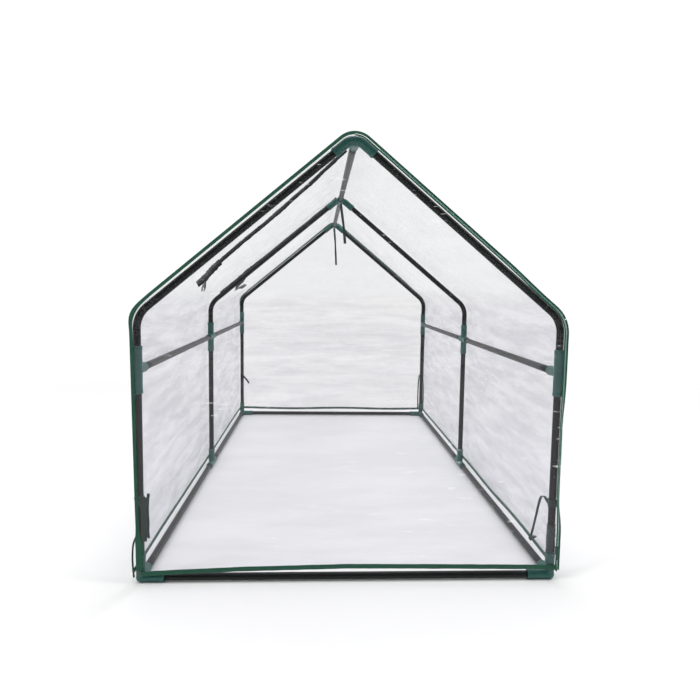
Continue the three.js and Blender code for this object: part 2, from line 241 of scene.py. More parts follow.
def woven_material(name, dark, light, pitch, sheen):
    """Cloth tape: warp and weft bands in the UVs, which are in metres across and along the tape."""
    n = material(name)
    where = n.where("UV")
    wave = {"Scale": 0.3142 / pitch, "Distortion": 0.6, "Detail": 1.0, "Vector": where}
    across = n.add("ShaderNodeTexWave", wave, bands_direction="X").outputs["Fac"]
    along = n.add("ShaderNodeTexWave", wave, bands_direction="Y").outputs["Fac"]
    weave = n.math("MULTIPLY", across, along)
    base = n.mix(weave, shade(dark), shade(light))
    colour = n.mix(n.remap(n.noise(60, where, 3), 0.35, 0.75, 0, 0.45), base, shade(dark, 0.7))
    lift = n.math("ADD", weave, n.math("MULTIPLY", n.noise(2600, where, 2), 0.3))
    return n.done(n.surface(colour, 0.74, n.bump(lift, pitch * 0.35, 0.8), **{"Sheen Weight": sheen}))


def plain_material(name, dark, light, rough):
    n = material(name)
    where = n.where()
    grain = n.noise(1800, where, 2)
    colour = n.mix(n.noise(90, where, 3), shade(dark), shade(light))
    rough = n.remap(grain, 0.3, 0.7, rough - 0.06, rough + 0.08)
    return n.done(n.surface(colour, rough, n.bump(grain, 0.00008, 0.4)))


# Film tints. The film's own faint grey, set panel by panel: the walls get a darker tint (painted shade), and
# the roof and the gable tops above the eave get a lighter one (painted light).
FRONT_TINT = (0.90, 0.895, 0.922)
FRONT_TOP_LIT_TINT = (0.935, 0.935, 0.94)
WALL_SHADED_TINT = (0.855, 0.858, 0.875)
TOP_LIT_TINT = (0.94, 0.945, 0.95)
REAR_TINT = (0.925, 0.925, 0.915)
# Painted shade: the tint that darkens the film along its fold streaks.
PAINTED_FOLD_SHADE = (0.69, 0.69, 0.72)
FILM_HAZE = (0.96, 0.965, 0.985)
STREAK = (5.0, 5.0, 34.0)
GLINT = (22.0, 22.0, 150.0)


def film_material(name, tint, lit_top_tint, hazes, roof_haze, bump, shines, fold_shade, glints):
    """Clear plastic sheet: light goes straight through, a little is scattered on, and some is reflected.
    Painted light and shade: a lighter tint above the eave, darker fold streaks, and white glints that glow.
    """
    n = material(name)
    where = n.where()
    crumple = n.noise(22, where, 4, 0.6)
    ripple = n.noise(95, where, 3, 0.55)
    normal = n.bump(ripple, 0.0009, bump, n.bump(crumple, 0.004, bump))
    height = n.add("ShaderNodeSeparateXYZ", {0: where}).outputs["Z"]
    # Above the eave the film takes the lighter top tint: painted light.
    roof = n.remap(height, EAVE_Z - 0.03, EAVE_Z + 0.06, 0, 1)
    rubbed = n.remap(n.noise(7, where, 5, 0.65), 0.35, 0.7, *hazes)
    haze = n.math("ADD", rubbed, n.math("MULTIPLY", roof, roof_haze))
    # Painted shade: dark streaks along the folds darken the film's tint, less so on the roof.
    fold = n.noise(1.0, n.drawn_out(where, STREAK, (0.35, 0.2, 0)), 4, 0.62)
    shadow = n.math("MULTIPLY", n.remap(fold, 0.40, 0.62, 0, fold_shade), n.remap(roof, 0, 1, 1, 0.16))
    tint_with_painted_light_and_shade = n.mix(shadow, n.mix(roof, shade(tint), shade(lit_top_tint)), shade(PAINTED_FOLD_SHADE))
    clear = n.add("ShaderNodeBsdfTransparent", {"Color": tint_with_painted_light_and_shade}).outputs[0]
    milky = n.add("ShaderNodeBsdfTranslucent", {"Color": shade(FILM_HAZE), "Normal": normal}).outputs[0]
    facing = n.add("ShaderNodeLayerWeight", {"Blend": 0.5, "Normal": normal}).outputs["Facing"]
    shine = n.remap(n.math("POWER", facing, 6.0), 0.0, 1.0, *shines)
    mirror = {"Color": PURE_WHITE, "Roughness": 0.06, "Normal": normal}
    gloss = n.add("ShaderNodeBsdfGlossy", mirror).outputs[0]
    sheet = n.either(shine, n.either(haze, clear, milky), gloss)
    # Painted glints: thin streaks in scattered patches glow plain white, painted highlights on the film.
    edge = n.remap(n.noise(1.0, n.drawn_out(where, GLINT, (0.5, 0.3, 0)), 3, 0.7), 0.64, 0.67, 0, 1)
    glint_patch = n.remap(n.noise(4.1, where, 2), 0.50, 0.56, 0, glints)
    return n.done(n.either(n.math("MULTIPLY", edge, glint_patch), sheet, n.glow(1.0)))


STEEL = steel_material()
PLASTIC = socket_material()
TAPE_CLOTH = woven_material("woven_binding_tape", (0.002, 0.075, 0.038), (0.007, 0.165, 0.088), 0.0007, 0.25)
ZIP_CLOTH = woven_material("zip_tape_cloth", (0.001, 0.030, 0.016), (0.003, 0.070, 0.038), 0.0005, 0.2)
RIBBON_CLOTH = woven_material("tie_ribbon_cloth", (0.006, 0.026, 0.020), (0.018, 0.058, 0.046), 0.0006, 0.3)
# The ties on the roof get a darker, duller copy of the tie ribbon cloth: painted shade.
ROOF_TIE_SHADED_CLOTH = woven_material("shaded_roof_tie_cloth", (0.001, 0.008, 0.006), (0.004, 0.024, 0.018), 0.0006, 0.12)
THREAD = plain_material("sewing_thread", (0.004, 0.085, 0.045), (0.010, 0.16, 0.09), 0.6)
COIL = plain_material("zip_coil_plastic", (0.012, 0.17, 0.10), (0.03, 0.26, 0.17), 0.4)
WRAP_FILM = plain_material("gathered_dark_wrap", (0.010, 0.018, 0.017), (0.035, 0.055, 0.052), 0.3)
SLIDER_PAINT = plain_material("painted_zip_slider", (0.004, 0.05, 0.03), (0.008, 0.08, 0.05), 0.32)
FILM_SIDE = film_material(
    "clear_film_sides", WALL_SHADED_TINT, TOP_LIT_TINT, (0.035, 0.10), -0.03, 1.0, (0.05, 0.20), 0.85, 1.0
)
GABLE_FILM = {
    "front": film_material(
        "clear_film_front", FRONT_TINT, FRONT_TOP_LIT_TINT, (0.003, 0.014), 0.0, 0.35, (0.03, 0.8), 0.26, 0.45
    ),
    "rear": film_material(
        "clear_film_rear", REAR_TINT, TOP_LIT_TINT, (0.04, 0.12), 0.05, 0.9, (0.05, 0.8), 0.36, 1.0
    ),
}


# ---- mesh building ----
class Shell:
    """Collects closed or open surfaces, then makes one piece of them."""

    def __init__(self):
        self.points, self.faces, self.uvs, self.slots = [], [], [], []

    def add(self, points, faces, uvs, slot=0):
        start = len(self.points)
        self.points.extend(points)
        self.faces.extend([[start + i for i in f] for f in faces])
        self.uvs.extend(uvs)
        self.slots.extend([slot] * len(faces))

    def piece(self, name, materials, slot=None, body=None, replaces=()):
        mesh = bpy.data.meshes.new(name)
        mesh.from_pydata([tuple(p) for p in self.points], [], self.faces)
        layer = mesh.uv_layers.new(name="UVMap")
        layer.data.foreach_set("uv", [c for face in self.uvs for uv in face for c in uv])
        for material in materials:
            mesh.materials.append(material)
        mesh.polygons.foreach_set("material_index", self.slots)
        mesh.polygons.foreach_set("use_smooth", [True] * len(self.faces))
        mesh.update()
        return placed(bpy.data.objects.new(name, mesh), body, replaces)


def placed(obj, body=None, replaces=()):
    bpy.context.scene.collection.objects.link(obj)
    if body:
        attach(obj, body)
    if replaces:
        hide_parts(*replaces)
    return obj


def lattice(points, closed, lengths, widths, capped):
    """Quads over rows of points, rows by columns by 3. closed joins the last column to the first."""
    rows, columns = points.shape[:2]
    span = columns if closed else columns - 1
    faces, uvs = [], []
    for i in range(rows - 1):
        for j in range(span):
            k = (j + 1) % columns
            faces.append([i * columns + j, i * columns + k, (i + 1) * columns + k, (i + 1) * columns + j])
            u0, u1, v0, v1 = widths[j], widths[j + 1], lengths[i], lengths[i + 1]
            uvs.append([(u0, v0), (u1, v0), (u1, v1), (u0, v1)])
    if capped:
        for row, order in ((0, -1), (rows - 1, 1)):
            ring = [row * columns + j for j in range(columns)][::order]
            faces.append(ring)
            uvs.append([(widths[j % columns], lengths[row]) for j in range(columns)][::order])
    return points.reshape(-1, 3), faces, uvs


def running(points, closed=False):
    """Distance along a row of points from its start."""
    steps = np.linalg.norm(np.diff(points, axis=0), axis=1)
    total = np.concatenate(([0.0], np.cumsum(steps)))
    if closed:
        total = np.append(total, total[-1] + np.linalg.norm(points[0] - points[-1]))
    return total


def tangents(path):
    t = np.gradient(path, axis=0)
    return t / np.linalg.norm(t, axis=1, keepdims=True)


def facing(path, outwards):
    """The way out, square to a path, and the way across it, at each of its points."""
    t = tangents(path)
    out = np.broadcast_to(np.asarray(outwards, float), path.shape).copy()
    out -= (out * t).sum(1, keepdims=True) * t
    out /= np.linalg.norm(out, axis=1, keepdims=True)
    return out, np.cross(out, t)


def girth(section):
    """Distance round a closed section, from point to point."""
    return running(np.asarray(section, float), True)


def swept(path, section, outwards, scale=None):
    """Sweeps a closed section (across, out) along a path. outwards is the out direction, or one a point."""
    path, section = np.asarray(path, float), np.asarray(section, float)
    out, across = facing(path, outwards)
    size = np.ones(len(path)) if scale is None else np.asarray(scale, float)
    u = section[None, :, 0:1] * size[:, None, None]
    v = section[None, :, 1:2] * size[:, None, None]
    points = path[:, None] + across[:, None] * u + out[:, None] * v
    return lattice(points, True, running(path), girth(section), True)


def ring(radius, sides):
    turns = [2 * math.pi * i / sides for i in range(sides)]
    return [(radius * math.cos(a), radius * math.sin(a)) for a in turns]


def soft_bar(width, height, corner, steps=3):
    """Outline of a bar with rounded corners, about its middle."""
    corner = min(corner, width / 2, height / 2)
    outline = []
    for quarter, (sx, sy) in enumerate([(1, 1), (-1, 1), (-1, -1), (1, -1)]):
        cx, cy = sx * (width / 2 - corner), sy * (height / 2 - corner)
        for i in range(steps + 1):
            angle = math.pi / 2 * (quarter + i / steps)
            outline.append((cx + corner * math.cos(angle), cy + corner * math.sin(angle)))
    return outline


def between(t, low, high, a, b):
    return ((high - t) * a + (t - low) * b) / (high - low)


def catmull(knots, count):
    """The centripetal curve through the knots, at even steps of length."""
    knots = [np.array(k, float) for k in knots]
    ends = [2 * knots[0] - knots[1], *knots, 2 * knots[-1] - knots[-2]]
    fine = []
    for p0, p1, p2, p3 in zip(ends, ends[1:], ends[2:], ends[3:]):
        gaps = [max(np.linalg.norm(b - a), 1e-9) ** 0.5 for a, b in ((p0, p1), (p1, p2), (p2, p3))]
        t0, t1, t2, t3 = np.cumsum([0.0, *gaps])
        for t in np.linspace(t1, t2, 24, endpoint=False):
            a, b, c = between(t, t0, t1, p0, p1), between(t, t1, t2, p1, p2), between(t, t2, t3, p2, p3)
            fine.append(between(t, t1, t2, between(t, t0, t2, a, b), between(t, t1, t3, b, c)))
    fine = np.array([*fine, knots[-1]])
    far = running(fine)
    even = np.linspace(0, far[-1], count)
    return np.column_stack([np.interp(even, far, fine[:, k]) for k in range(3)])


def smoothstep(value, low, high):
    t = np.clip((np.asarray(value, float) - low) / (high - low), 0, 1)
    return t * t * (3 - 2 * t)


def puckers(path, step, seed, tag):
    return np.array([noise.noise((s * step, seed, tag)) for s in running(path)])


# ---- the ties, free ribbons ----
def on_left_roof(places, lift=0.0):
    crest = APEX_Z + ROOF_TIE_OFF / COS
    return [(x / 1000, y / 1000, crest + TAN * x / 1000 + lift) for x, y in places]


def metres(knots):
    return [tuple(c / 1000 for c in knot) for knot in knots]


TIE_FACE = (-SIN * 0.25, -0.97, COS * 0.25)
ROOF_TIES = {
    "front_roof_tie": [(-12, -756), (-35, -740), (-93, -706), (-142, -680), (-204, -666), (-265, -662)]
    + [(-300, -652), (-332, -618), (-356, -560), (-377, -492), (-395, -420)],
    "middle_roof_tie": [(-12, 14), (-62, 20), (-120, 26), (-180, 20), (-240, 24), (-300, 20)]
    + [(-332, 34), (-354, 72), (-369, 128), (-372, 186), (-360, 236)],
}
HANGING_TIES = {
    "middle_ridge_tie": [(2, -13, 913), (4, -14, 900), (8, -15, 872), (12, -15, 844), (15, -14, 812)]
    + [(18, -14, 780)],
    "rear_ridge_tie": [(0, 876, 913), (1, 875, 898), (4, 874, 868), (6, 874, 836), (8, 875, 800)]
    + [(10, 875, 768), (11, 875, 738)],
    "front_left_corner_tie": [(-426, -884, 190), (-427.5, -885, 172), (-428, -886, 150)]
    + [(-427, -886, 128), (-428, -885, 108), (-427, -884, 92)],
    "front_right_corner_tie": [(437, -879, 168), (435, -866, 174), (435, -846, 170), (438, -822, 146)]
    + [(442, -798, 112), (445, -776, 78), (447, -758, 50), (448, -746, 29)],
    "rear_right_corner_tie": [(430, 881, 206), (428, 880, 190), (426, 880, 164), (425, 880, 128)]
    + [(425, 880, 90), (425.5, 880, 58), (426, 880, 36)],
}


def strand(path, normal, width, seed, drift, curl, thick, flare):
    """One woven ribbon: it wanders across the tie's line, rocks about it and puckers a little."""
    along = running(path)
    out, across = facing(path, normal)
    turn = curl * puckers(path, 27, seed, 7.7)
    line = path + across * (drift * (0.45 + 1.3 * puckers(path, 21, seed, 0.3)))[:, None]
    turned = out * np.cos(turn)[:, None] + across * np.sin(turn)[:, None]
    size = 1 + (0.07 + 1.2 * flare) * puckers(path, 120, seed, 3.1)
    size *= 1 + flare * smoothstep(along, along[-1] - 0.09, along[-1] - 0.03)
    return swept(line, soft_bar(width, thick, thick / 2, 2), turned, size)


# A tie's strands, each with its width and drift as shares of the tie's, its curl, thickness and flare,
# and the step between them.
ROOF_STRANDS = [(0.90, 0.06, 0.5, TIE_T, 0.14), (0.60, -0.17, 0.9, TIE_T, 0.14)], 0.0012
HANGING_STRANDS = [(0.76, 0.14, 0.3, 0.0016, 0), (0.72, -0.14, 0.3, 0.0016, 0)], 0.0020
CORNER_STRANDS = [(1, 0, 0.35, 0.0020, 0)], 0


def add_tie(name, knots, width, on_roof):
    path, fine = catmull(knots, 30), catmull(knots, 150)
    seed = sum(map(ord, name)) * 0.37
    face = TIE_FACE if on_roof else FORWARD
    strands, step = ROOF_STRANDS if on_roof else HANGING_STRANDS if width == TIE_W else CORNER_STRANDS
    shell = Shell()
    for i, (wide, drift, *sizes) in enumerate(strands):
        line = fine + np.array(FORWARD) * (step * i)
        shell.add(*strand(line, face, width * wide, seed + 9 * i, width * drift, *sizes))
    # Ties on the roof take the darker copy of the ribbon cloth, which is painted shade.
    cloth = ROOF_TIE_SHADED_CLOTH if on_roof else RIBBON_CLOTH
    tie = shell.piece(name + "_ribbon", [cloth], "tie_ribbon", "frame_and_cover", [name])


for tie_name, tie_places in ROOF_TIES.items():
    add_tie(tie_name, on_left_roof(tie_places), TIE_W, True)
for tie_name, tie_knots in HANGING_TIES.items():
    add_tie(tie_name, metres(tie_knots), CORNER_TIE_W if "corner" in tie_name else TIE_W, False)


# ---- the steel tubes ----
RIDGE_ARC = 0.0, ELBOW_Z, ELBOW_R
EAVE_ARC = HALF - EAVE_BEND_R, EAVE_BEND_Z, EAVE_BEND_R


def arc(x, z, radius, angles):
    """Places round a centre, by their angles from straight up."""
    return [(x + radius * math.sin(a), z + radius * math.cos(a)) for a in angles]


def add_tube(node, path, out):
    shell = Shell()
    shell.add(*swept(path, ring(TUBE_R, 28), out))
    piece = shell.piece(node + "_pipe", [STEEL], "tube_steel", "frame_and_cover", [node])
    piece.data.polygons.foreach_set("use_smooth", [len(p.vertices) == 4 for p in piece.data.polygons])


def straight(a, b, count=12):
    return [np.array(a) + (np.array(b) - np.array(a)) * i / (count - 1) for i in range(count)]


def hoop_path(side, y):
    path = straight((side * HALF, y, SIDE_Z + TUBE_END), (side * HALF, y, EAVE_BEND_Z - 0.001), 6)
    path += [(side * x, y, z) for x, z in arc(*EAVE_ARC, np.linspace(math.pi / 2, SLOPE, 15))]
    top = (side * RAFTER_END * COS, y, APEX_Z - RAFTER_END * SIN)
    return path + straight(path[-1], top, 14)[1:]


for arch, arch_y in ARCH_Y.items():
    for side_name, side in SIDES.items():
        leg_x = side * HALF
        leg = straight((leg_x, arch_y, GROUND_Z + TUBE_END), (leg_x, arch_y, SIDE_Z - TUBE_END))
        add_tube(f"{arch}_{side_name}_lower_leg", leg, FORWARD)
        add_tube(f"{arch}_{side_name}_roof_hoop", hoop_path(side, arch_y), FORWARD)

BAYS = {"front": (ARCH_Y["front"], ARCH_Y["middle"]), "rear": (ARCH_Y["middle"], ARCH_Y["rear"])}
for bay, (bay_from, bay_to) in BAYS.items():
    rails = {f"{bay}_ridge_tube": (0, RIDGE_Z)}
    for side_name, side in SIDES.items():
        rails[f"{bay}_{side_name}_side_rail"] = (side * HALF, SIDE_Z)
        rails[f"{bay}_{side_name}_ground_rail"] = (side * HALF, GROUND_Z)
    for node, (x, z) in rails.items():
        add_tube(node, straight((x, bay_from + TUBE_END, z), (x, bay_to - TUBE_END, z)), UP)
for end_name in ENDS:
    bar_x, bar_y = HALF - TUBE_END, ARCH_Y[end_name]
    add_tube(f"{end_name}_ground_bar", straight((-bar_x, bar_y, GROUND_Z), (bar_x, bar_y, GROUND_Z)), UP)


# ---- the moulded sockets ----
def lathe(shell, origin, direction, profile, sides=28):
    """Turns a profile of (along, radius) about a line. Its first and last points close it."""
    axis = Vector(direction).normalized()
    side = axis.orthogonal().normalized()
    other = axis.cross(side)
    points = []
    for along, radius in profile:
        centre = Vector(origin) + axis * along
        points.append([centre + side * (radius * c) + other * (radius * s) for c, s in ring(1, sides)])
    points = np.array(points)
    around = np.linspace(0, 2 * math.pi * SOCKET_R, sides + 1)
    shell.add(*lattice(points, True, [a for a, _ in profile], around, True))


ARM_PROFILE = [
    (0.0, SOCKET_R),
    (SOCKET_REACH - COLLAR - COLLAR_STEP, SOCKET_R),
    (SOCKET_REACH - COLLAR, COLLAR_R),
    (SOCKET_REACH - COLLAR_STEP, COLLAR_R),
    (SOCKET_REACH, COLLAR_R - 0.0008),
]
HUB_STEPS = 12
HUB_PROFILE = [
    (-COLLAR_R * math.cos(math.pi * i / HUB_STEPS), max(COLLAR_R * math.sin(math.pi * i / HUB_STEPS), 1e-4))
    for i in range(HUB_STEPS + 1)
]
ELBOW_RIM = [(0.0, 0.93), (COLLAR_STEP, 1.06), (COLLAR, 1.06), (COLLAR + COLLAR_STEP, 1.0)]


def apply_modifiers(obj):
    graph = bpy.context.evaluated_depsgraph_get()
    mesh = bpy.data.meshes.new_from_object(obj.evaluated_get(graph))
    obj.modifiers.clear()
    obj.data = mesh


def grown(outside, bores):
    """Closed shells grown into one moulding, then bored."""
    body = outside.piece("socket_body", [PLASTIC])
    cutter = bores.piece("socket_bores", [PLASTIC])
    remesh = body.modifiers.new("grow", "REMESH")
    remesh.mode, remesh.voxel_size = "VOXEL", 0.0011
    relax = body.modifiers.new("soften", "SMOOTH")
    relax.factor, relax.iterations = 0.5, 5
    apply_modifiers(body)
    cut = body.modifiers.new("bore", "BOOLEAN")
    cut.operation, cut.solver, cut.object = "DIFFERENCE", "EXACT", cutter
    apply_modifiers(body)
    mesh = body.data
    for o in (body, cutter):
        bpy.data.objects.remove(o)
    return mesh


def add_arms(outside, bores, directions):
    for d in directions:
        lathe(outside, (0, 0, 0), d, ARM_PROFILE)
        lathe(bores, (0, 0, 0), d, [(BORE_FLOOR, BORE_R), (SOCKET_REACH + BORE_PAST, BORE_R)], 24)


def socket_mesh(directions):
    """A joint about the origin: a hub and an arm for each direction."""
    outside, bores = Shell(), Shell()
    lathe(outside, (0, 0, 0), directions[0], HUB_PROFILE)
    add_arms(outside, bores, directions)
    return grown(outside, bores)


def elbow_mesh(along):
    """A ridge joint about the ridge tubes' centre: a bent arm over the ridge and level arms along it."""
    outside, bores = Shell(), Shell()
    apex = APEX_Z - RIDGE_Z
    reaches = [ELBOW_REACH - back for back, _ in ELBOW_RIM]
    path = [(-s * COS, 0, apex - s * SIN) for s in reaches]
    path += [(x, 0, z - RIDGE_Z) for x, z in arc(*RIDGE_ARC, np.linspace(-SLOPE, SLOPE, 17))]
    path += [(s * COS, 0, apex - s * SIN) for s in reversed(reaches)]
    sizes = [size for _, size in ELBOW_RIM]
    sizes += [1.0] * 17 + sizes[::-1]
    outside.add(*swept(path, ring(SOCKET_R, 28), FORWARD, sizes))
    add_arms(outside, bores, along)
    for side in SIDES.values():
        bore = [(ELBOW_FLOOR, BORE_R), (ELBOW_REACH + BORE_PAST, BORE_R)]
        lathe(bores, (0, 0, apex), (side * COS, 0, -SIN), bore, 24)
    return grown(outside, bores)


socket_meshes = {}


def add_socket(node, centre, directions, build=socket_mesh):
    key = (build.__name__, *[tuple(round(c, 4) for c in d) for d in directions])
    if key not in socket_meshes:
        socket_meshes[key] = build(directions)
    mesh = socket_meshes[key].copy()
    mesh.name = node
    co = np.zeros(len(mesh.vertices) * 3)
    mesh.vertices.foreach_get("co", co)
    co = co.reshape(-1, 3) + np.array(centre)
    co[:, 2] = np.maximum(co[:, 2], FLOOR_GAP)
    mesh.vertices.foreach_set("co", co.ravel())
    mesh.materials.clear()
    mesh.materials.append(PLASTIC)
    mesh.polygons.foreach_set("use_smooth", [True] * len(mesh.polygons))
    mesh.update()
    placed(bpy.data.objects.new(node + "_socket", mesh), "frame_and_cover", [node])


ALONG = {"front": [(0, 1, 0)], "middle": [(0, -1, 0), (0, 1, 0)], "rear": [(0, -1, 0)]}
for arch, arch_y in ARCH_Y.items():
    add_socket(f"{arch}_ridge_joint", (0, arch_y, RIDGE_Z), ALONG[arch], elbow_mesh)
    for side_name, side in SIDES.items():
        inwards = [] if arch == "middle" else [(-side, 0, 0)]
        ground = (side * HALF, arch_y, GROUND_Z)
        add_socket(f"{arch}_{side_name}_ground_joint", ground, [UP, *inwards, *ALONG[arch]])
        add_socket(f"{arch}_{side_name}_side_joint", (side * HALF, arch_y, SIDE_Z), [UP, DOWN, *ALONG[arch]])


# ---- the film ----
class Creases:
    """Soft folds in a sheet: short lines with rounded crests that fade at the ends.

    scatter's places are in metres, and its lengths, widths and heights in millimetres."""

    def __init__(self, seed):
        self.draw = random.Random(seed)
        self.lines = []

    def scatter(self, count, u_range, v_range, angle, spread, length, width, height):
        d = self.draw
        for _ in range(count):
            place = d.uniform(*u_range), d.uniform(*v_range), angle + d.gauss(0, spread)
            size = d.uniform(*length), d.uniform(*width), d.uniform(*height) * d.choice((-1, 1))
            self.lines.append((*place, *[mm / 1000 for mm in size], d.uniform(-1.2, 1.2)))

    def height(self, u, v):
        total = np.zeros_like(u)
        for cu, cv, angle, length, width, height, bow in self.lines:
            du, dv = u - cu, v - cv
            along = du * math.cos(angle) + dv * math.sin(angle)
            beside = dv * math.cos(angle) - du * math.sin(angle) - bow * along * along
            crest = 1 / (1 + (beside / width) ** 2)
            total += height * crest * np.exp(-((along / length) ** 2) * 2)
        return total


def fractal(u, v, scale, seed):
    flat = [noise.fractal((a * scale, b * scale, seed), 0.9, 2.1, 3) for a, b in zip(u.ravel(), v.ravel())]
    return np.array(flat).reshape(u.shape)


def waves(y, step, seed, tag):
    """Seeded noise along a sheet, in the shape of y."""
    return np.array([noise.noise((float(a) * step, seed, tag)) for a in np.ravel(y)]).reshape(np.shape(y))


def give(distance, radius):
    """How far a sheet FILM_MID off a round bar's centre line can move in, at a distance beside the bar."""
    inside = np.maximum(radius**2 - distance**2, 0)
    room = FILM_MID - np.sqrt(inside)
    return room + np.maximum(np.abs(distance) - radius, 0) * 0.9


def arch_gap(y):
    return np.min([np.abs(y - a) for a in ARCH_Y.values()], axis=0)


def bay_swell(y):
    """0 at the arches and 1 between them."""
    return np.sin(math.pi * np.clip((y - ARCH_Y["front"]) / (ARCH_Y["middle"] - ARCH_Y["front"]), 0, 2)) ** 2


def arch_calm(y):
    return 0.35 + 0.65 * smoothstep(arch_gap(y), 0.0, 0.05)


ROOF_S = EAVE_FOLD.x / COS
WALL_H = EAVE_FOLD.z - HEM_LOW
EAVE_SAG, EAVE_RIPPLE = 0.007, 0.0012
SIDE_HEMS = {"left": (0.0300, 0.004, 2.3), "right": (0.0290, 0.008, 5.9)}  # height, wave and seed


def hem_height(side_name, y):
    """Middle of a side hem above the ground: it dips and rises in long waves."""
    height, size, seed = SIDE_HEMS[side_name]
    return height + size * waves(y, 2.6, seed, 0)


def eave_pull(side, y):
    """The fold along the eave hangs a little between the arches."""
    return (EAVE_SAG + EAVE_RIPPLE * waves(y, 16, side, 4)) * bay_swell(y)


EAVE_SKIN_R = EAVE_BEND_R + FILM_MID
EAVE_TANGENT = EAVE_SKIN_R * math.tan(EAVE_TURN / 2)
PULL_IN, PULL_DOWN = 0.35, 0.94
CREST_R = 0.0084
CREST_NEAR, CREST_FAR = 0.010, 0.022
SHEET_YS = np.linspace(-FILM_END, FILM_END, 260)
SHEET_ROWS, GABLE_ROWS = 84, 150
WHOLE = (-FILM_END, FILM_END)
PAST_COLLAR, PAST_TUBE = COLLAR_R + 0.0003, TUBE_R + 0.0006
HEM_LAP = 0.003  # from a hem's middle down to the film's edge
ROOF_SAG, WALL_BELLY = 0.007, 0.004
ROOF_CRUMPLE, WALL_CRUMPLE = 0.0016, 0.0018
GABLE_CRUMPLE = {"front": 0.0008, "rear": 0.0016}


def crest_drop(x):
    """How far the rounded ridge lies below the two slopes' meeting line."""
    x = np.abs(x)
    return TAN * (np.hypot(x, CREST_R) - x) * (1 - smoothstep(x, CREST_NEAR, CREST_FAR))


def skin(distance, lift, straight_x, straight_z, roof):
    """Rounds the film over the eave. distance is from the fold, and the straight place is past the bend."""
    half_turn = EAVE_TURN / 2 * (1 - np.clip(distance / EAVE_TANGENT, 0, 1))
    angle = EAVE_TURN - half_turn if roof else half_turn
    radius = EAVE_SKIN_R + lift
    bent = distance < EAVE_TANGENT
    x = np.where(bent, HALF - EAVE_BEND_R + radius * np.cos(angle), straight_x)
    z = np.where(bent, EAVE_BEND_Z + radius * np.sin(angle), straight_z)
    return x, z


def roof_sheet(side_name):
    side = SIDES[side_name]
    rows = np.linspace(0, ROOF_S, SHEET_ROWS)
    s, y = np.meshgrid(rows, SHEET_YS, indexing="ij")
    creases = Creases(11 + side)
    across, low, most = math.pi / 2, (ROOF_S - 0.12, ROOF_S), (0.04, ROOF_S - 0.04)
    creases.scatter(46, WHOLE, (0.0, 0.20), across, 0.32, (50, 160), (4, 9), (1, 2.8))
    creases.scatter(40, WHOLE, most, 0.2, 0.9, (80, 300), (6, 16), (0.8, 2.4))
    creases.scatter(26, WHOLE, low, across, 0.5, (40, 100), (4, 8), (1, 2))
    for edge in (ARCH_Y["front"], ARCH_Y["rear"]):
        near = (edge - 0.05, edge + 0.05)
        creases.scatter(30, near, (0, ROOF_S), 0, 0.35, (30, 80), (3, 7), (0.8, 1.8))
    lift = creases.height(y, s) + ROOF_CRUMPLE * fractal(y, s, 11, 3.0 + side)
    lift -= ROOF_SAG * bay_swell(y) * np.sin(math.pi * s / ROOF_S) ** 0.7
    lift *= smoothstep(s, 0.0, 0.05) * smoothstep(ROOF_S - s, 0.0, 0.03) * arch_calm(y)
    room = np.minimum(give(arch_gap(y), PAST_COLLAR), give(s, PAST_TUBE))
    lift = np.maximum(lift, -room)
    pull = eave_pull(side, y) * smoothstep(s, ROOF_S - 0.22, ROOF_S)
    x, z = skin(ROOF_S - s, lift, s * COS + lift * SIN, RIDGE_FOLD.z - s * SIN + lift * COS, True)
    z = z - crest_drop(x) - pull * PULL_DOWN
    return np.stack((side * (x - pull * PULL_IN), y, z), axis=-1), rows


LEG_DRIFT_Z = [0.0, 0.08, 0.12, 0.20, 0.45, EAVE_BEND_Z, EAVE_Z + 0.03]
LEG_DRIFT = [0.0135, 0.0135, 0.0105, 0.0092, 0.0062, 0.0050, 0.0]


def leg_drift(z):
    """How far the left binding creeps in over the leg, by height."""
    return np.interp(z, LEG_DRIFT_Z, LEG_DRIFT)


def wall_sheet(side_name):
    side = SIDES[side_name]
    rows = np.linspace(0, 1, SHEET_ROWS)
    t, y = np.meshgrid(rows, SHEET_YS, indexing="ij")
    top = EAVE_FOLD.z
    z = top + (hem_height(side_name, y) - HEM_LAP - top) * t
    creases = Creases(51 + side)
    across = math.pi / 2
    creases.scatter(34, WHOLE, (0.06, 0.56), 0.0, 0.42, (100, 420), (7, 20), (1, 3))
    creases.scatter(26, WHOLE, (0.48, 0.60), across, 0.4, (40, 120), (4, 9), (1, 2))
    creases.scatter(24, WHOLE, (0.03, 0.14), across, 0.6, (30, 100), (5, 10), (0.8, 2))
    for edge, lean in ((ARCH_Y["front"], 0.5), (ARCH_Y["rear"], -0.5)):
        near = (edge - 0.02, edge + 0.07)
        creases.scatter(22, near, (0.04, 0.58), lean, 0.4, (40, 120), (4, 9), (0.8, 1.8))
    lift = creases.height(y, z) + WALL_CRUMPLE * fractal(y, z, 9, 13.0 + side)
    belly = np.sin(math.pi * np.clip((SIDE_Z - z) / SIDE_Z, 0, 1)) ** 2
    lift += WALL_BELLY * bay_swell(y) * belly * (0.4 - side * 0.6)
    lift *= smoothstep(top - z, 0.0, 0.04) * smoothstep(z, 0.03, 0.07) * arch_calm(y)
    room = np.minimum(give(arch_gap(y), PAST_COLLAR), give(z - SIDE_Z, PAST_TUBE))
    room = np.minimum(room, give(z - GROUND_Z, PAST_TUBE) + 0.002)
    lift = np.maximum(lift, -room)
    pull = eave_pull(side, y) * smoothstep(z, top - 0.12, top)
    x, z = skin(top - z, lift, EAVE_FOLD.x + lift, z, False)
    if side_name == "left":
        x = x - leg_drift(z) * 0.8 * smoothstep(-y, FILM_END - 0.011, FILM_END)
    return np.stack((side * (x - pull * PULL_IN), y, z - pull * PULL_DOWN), axis=-1), rows * WALL_H


def sheet_piece(name, points, widths, lengths, film, body, replaces):
    shell = Shell()
    shell.add(*lattice(points, False, lengths, widths, False))
    return shell.piece(name, [film], "clear_film", body, replaces)


